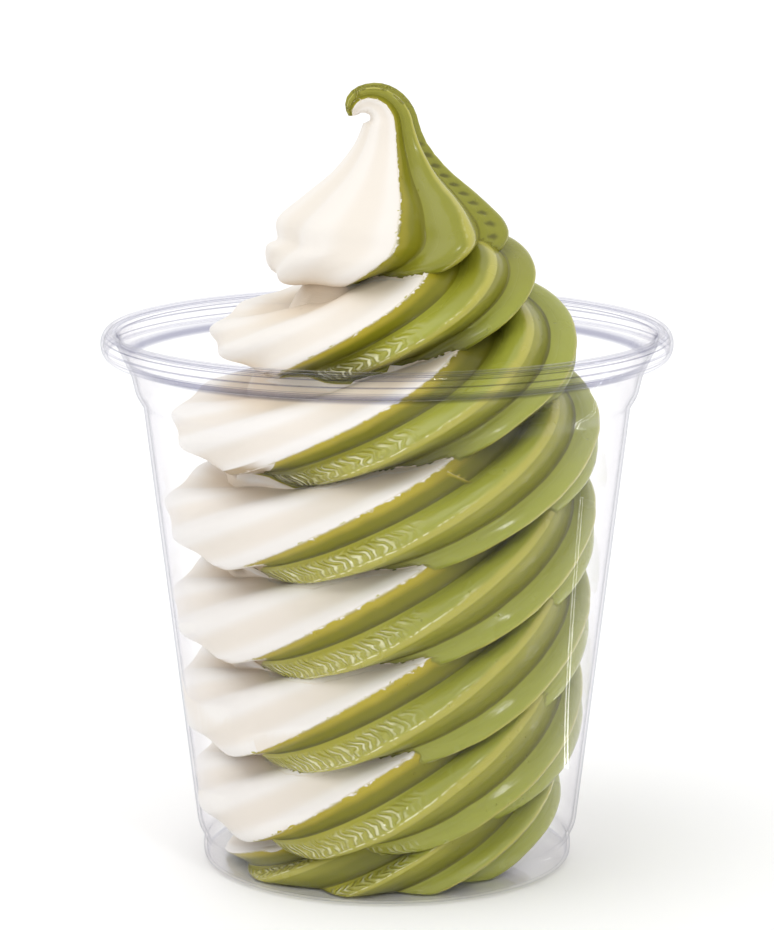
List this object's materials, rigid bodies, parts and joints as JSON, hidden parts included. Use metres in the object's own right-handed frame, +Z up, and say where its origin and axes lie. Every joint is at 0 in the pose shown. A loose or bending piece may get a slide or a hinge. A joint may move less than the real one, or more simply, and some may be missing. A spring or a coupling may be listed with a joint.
{
  "type": "soft serve ice cream in a cup",
  "caption": "Tall coiled soft serve twist, half vanilla and half matcha, with star-nozzle ridges and a curled tip, in a clear tapered plastic cup with a rolled rim.",
  "frame": {"origin": "centre of the cup's foot, on the surface that it stands on", "axes": "+Z up along the cup's axis, -Y towards the viewer of the picture, vanilla faces -X and matcha faces +X"},
  "size_m": [0.0978, 0.0978, 0.1347],
  "materials": {
    "clear_plastic": "thin clear moulded plastic, glossy and faintly grey",
    "vanilla_ice": "soft frozen cream, warm white, faintly rough with a wet sheen",
    "matcha_ice": "soft frozen cream, yellow green, wet and glossy on its crests"
  },
  "bodies": {
    "root": {"cup": "clear_plastic", "vanilla_twist": "vanilla_ice", "matcha_twist": "matcha_ice"}
  },
  "joints": []
}
